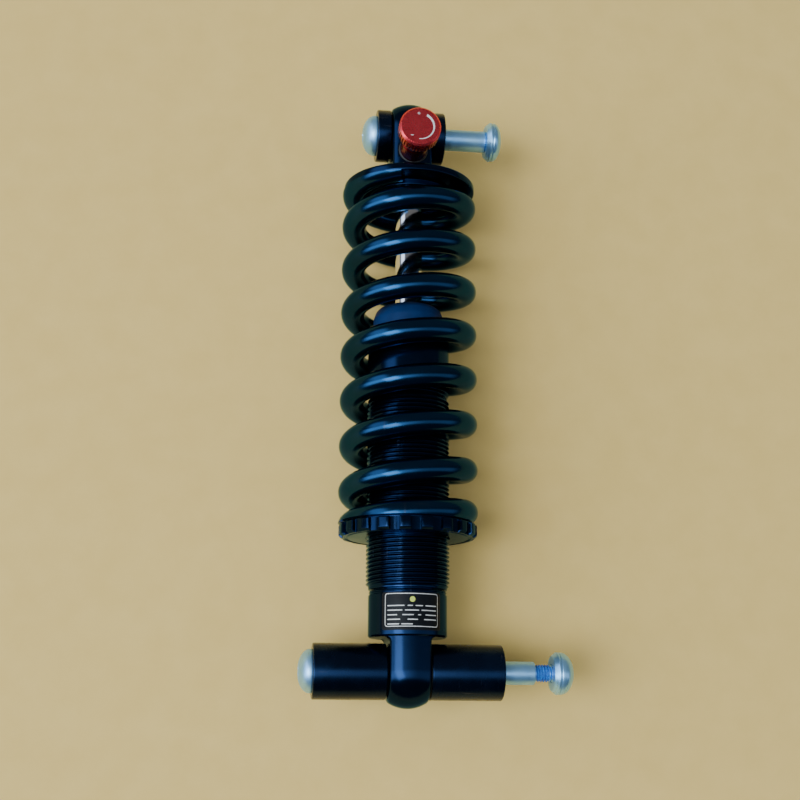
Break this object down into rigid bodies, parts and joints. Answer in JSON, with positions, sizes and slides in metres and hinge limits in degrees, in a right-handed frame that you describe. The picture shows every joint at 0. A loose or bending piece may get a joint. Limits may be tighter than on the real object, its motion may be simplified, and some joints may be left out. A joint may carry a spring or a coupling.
{
  "type": "bicycle rear shock",
  "caption": "Bicycle coil-over rear shock: black coil spring round a threaded damper, a round eye with spacers and a bolt at each end, and a red rebound knob.",
  "frame": {"origin": "centre of the lower eye", "axes": "+Y along the shock's axis to the upper eye, +X along the lower axle to its screw, +Z out of the side that carries the rebound knob"},
  "size_m": [0.0962, 0.2249, 0.0569],
  "materials": {
    "black_anodised": "gloss black anodised",
    "spacer_black": "semi-gloss black anodised",
    "spring_paint": "gloss black powder coat",
    "bump_rubber": "matte",
    "seal_rubber": "satin",
    "label_film": "printed film",
    "bushing_polymer": "matte",
    "chromed_steel": "polished",
    "bare_aluminium": "machined",
    "bright_steel": "machined",
    "red_anodised": "red anodised",
    "zinc_satin": "satin zinc plate",
    "zinc_bright": "bright zinc plate",
    "threadlock_blue": "dry threadlock"
  },
  "bodies": {
    "damper": {"lower_eye_cap": "black_anodised", "lower_eye_bushing": "bushing_polymer", "cap_oring": "seal_rubber", "charge_port_screw": "bright_steel", "info_label": "label_film", "damper_tube": "black_anodised", "seal_head": "black_anodised", "seal_head_oring": "seal_rubber", "shaft_bushing": "bushing_polymer", "shaft_oil_seal": "seal_rubber", "wiper_seal": "seal_rubber", "bump_stop": "bump_rubber", "coil_spring": "spring_paint"},
    "floating_piston": {"floating_piston": "bare_aluminium", "floating_piston_oring": "seal_rubber"},
    "spring_perch": {"upper_spring_seat": "black_anodised"},
    "shaft": {"damper_shaft": "chromed_steel", "upper_eye_head": "black_anodised", "upper_eye_bushing": "bushing_polymer", "main_piston": "bare_aluminium", "piston_band": "bushing_polymer", "compression_shims": "bright_steel", "rebound_shims": "bright_steel", "piston_nut": "bright_steel", "top_out_plate": "bright_steel", "top_out_bumper": "seal_rubber"},
    "rebound_knob": {"rebound_knob": "red_anodised", "knob_spindle": "bright_steel", "knob_oring": "seal_rubber"},
    "rebound_needle": {"rebound_needle": "bright_steel"},
    "preload_seat": {"preload_thrust_washer": "black_anodised"},
    "preload_collar": {"preload_collar": "black_anodised"},
    "upper_hardware": {"upper_spacer_left": "spacer_black", "upper_spacer_right": "spacer_black", "upper_spacer_orings": "seal_rubber"},
    "upper_axle": {"upper_axle": "zinc_satin"},
    "upper_washer": {"upper_axle_washer": "zinc_bright"},
    "upper_screw": {"upper_axle_screw": "zinc_bright"},
    "lower_hardware": {"lower_spacer_left": "spacer_black", "lower_spacer_right": "spacer_black", "lower_spacer_orings": "seal_rubber"},
    "lower_axle": {"lower_axle": "zinc_satin"},
    "lower_washer": {"lower_axle_washer": "zinc_bright"},
    "lower_screw": {"lower_axle_screw": "zinc_bright", "threadlock_patch": "threadlock_blue"}
  },
  "joints": [
    {"name": "stroke", "type": "slide", "parent": "damper", "child": "spring_perch", "axis": [0, -1, 0], "range_m": [0, 0.046], "stiffness_N_per_m": 131000, "deforming": ["coil_spring", "bump_stop"]},
    {"name": "eye_swivel", "type": "hinge", "parent": "spring_perch", "child": "shaft", "pos_m": [0, 0.1795, 0], "axis": [0, 1, 0], "continuous": true},
    {"name": "gas_piston_travel", "type": "slide", "parent": "damper", "child": "floating_piston", "axis": [0, -1, 0], "range_m": [0, 0.008]},
    {"name": "rebound_turn", "type": "hinge", "parent": "shaft", "child": "rebound_knob", "pos_m": [0, 0.1898, 0], "axis": [0, 0, 1], "range_deg": [-270, 270]},
    {"name": "needle_travel", "type": "slide", "parent": "shaft", "child": "rebound_needle", "axis": [0, 1, 0], "range_m": [-0.0015, 0.0015]},
    {"name": "preload_travel", "type": "slide", "parent": "damper", "child": "preload_seat", "axis": [0, 1, 0], "range_m": [-0.018, 0]},
    {"name": "collar_turn", "type": "hinge", "parent": "preload_seat", "child": "preload_collar", "pos_m": [0, 0.0508, 0], "axis": [0, 1, 0], "range_deg": [-4320, 0]},
    {"name": "upper_eye_pivot", "type": "hinge", "parent": "shaft", "child": "upper_hardware", "pos_m": [0, 0.2, 0], "axis": [1, 0, 0], "continuous": true},
    {"name": "upper_axle_float", "type": "slide", "parent": "upper_hardware", "child": "upper_axle", "axis": [1, 0, 0], "range_m": [-0.01635, 0]},
    {"name": "upper_screw_travel", "type": "slide", "parent": "upper_axle", "child": "upper_washer", "axis": [1, 0, 0], "range_m": [0, 0.018]},
    {"name": "upper_screw_turn", "type": "hinge", "parent": "upper_washer", "child": "upper_screw", "pos_m": [0.0315, 0.2, 0], "axis": [1, 0, 0], "range_deg": [0, 6480]},
    {"name": "lower_eye_pivot", "type": "hinge", "parent": "damper", "child": "lower_hardware", "pos_m": [0, 0, 0], "axis": [1, 0, 0], "continuous": true},
    {"name": "lower_axle_float", "type": "slide", "parent": "lower_hardware", "child": "lower_axle", "axis": [1, 0, 0], "range_m": [-0.0116, 0]},
    {"name": "lower_screw_travel", "type": "slide", "parent": "lower_axle", "child": "lower_washer", "axis": [1, 0, 0], "range_m": [-0.006, 0.008]},
    {"name": "lower_screw_turn", "type": "hinge", "parent": "lower_washer", "child": "lower_screw", "pos_m": [0.0532, 0, 0], "axis": [1, 0, 0], "range_deg": [-2160, 2880]}
  ],
  "couplings": [
    {"joint": "gas_piston_travel", "follows": "stroke", "ratio": 0.1736},
    {"joint": "rebound_turn", "follows": "needle_travel", "rad_per_m": 3141.6},
    {"joint": "collar_turn", "follows": "preload_travel", "rad_per_m": 4188.8},
    {"joint": "upper_screw_turn", "follows": "upper_screw_travel", "rad_per_m": 6283.2},
    {"joint": "lower_screw_turn", "follows": "lower_screw_travel", "rad_per_m": 6283.2}
  ]
}
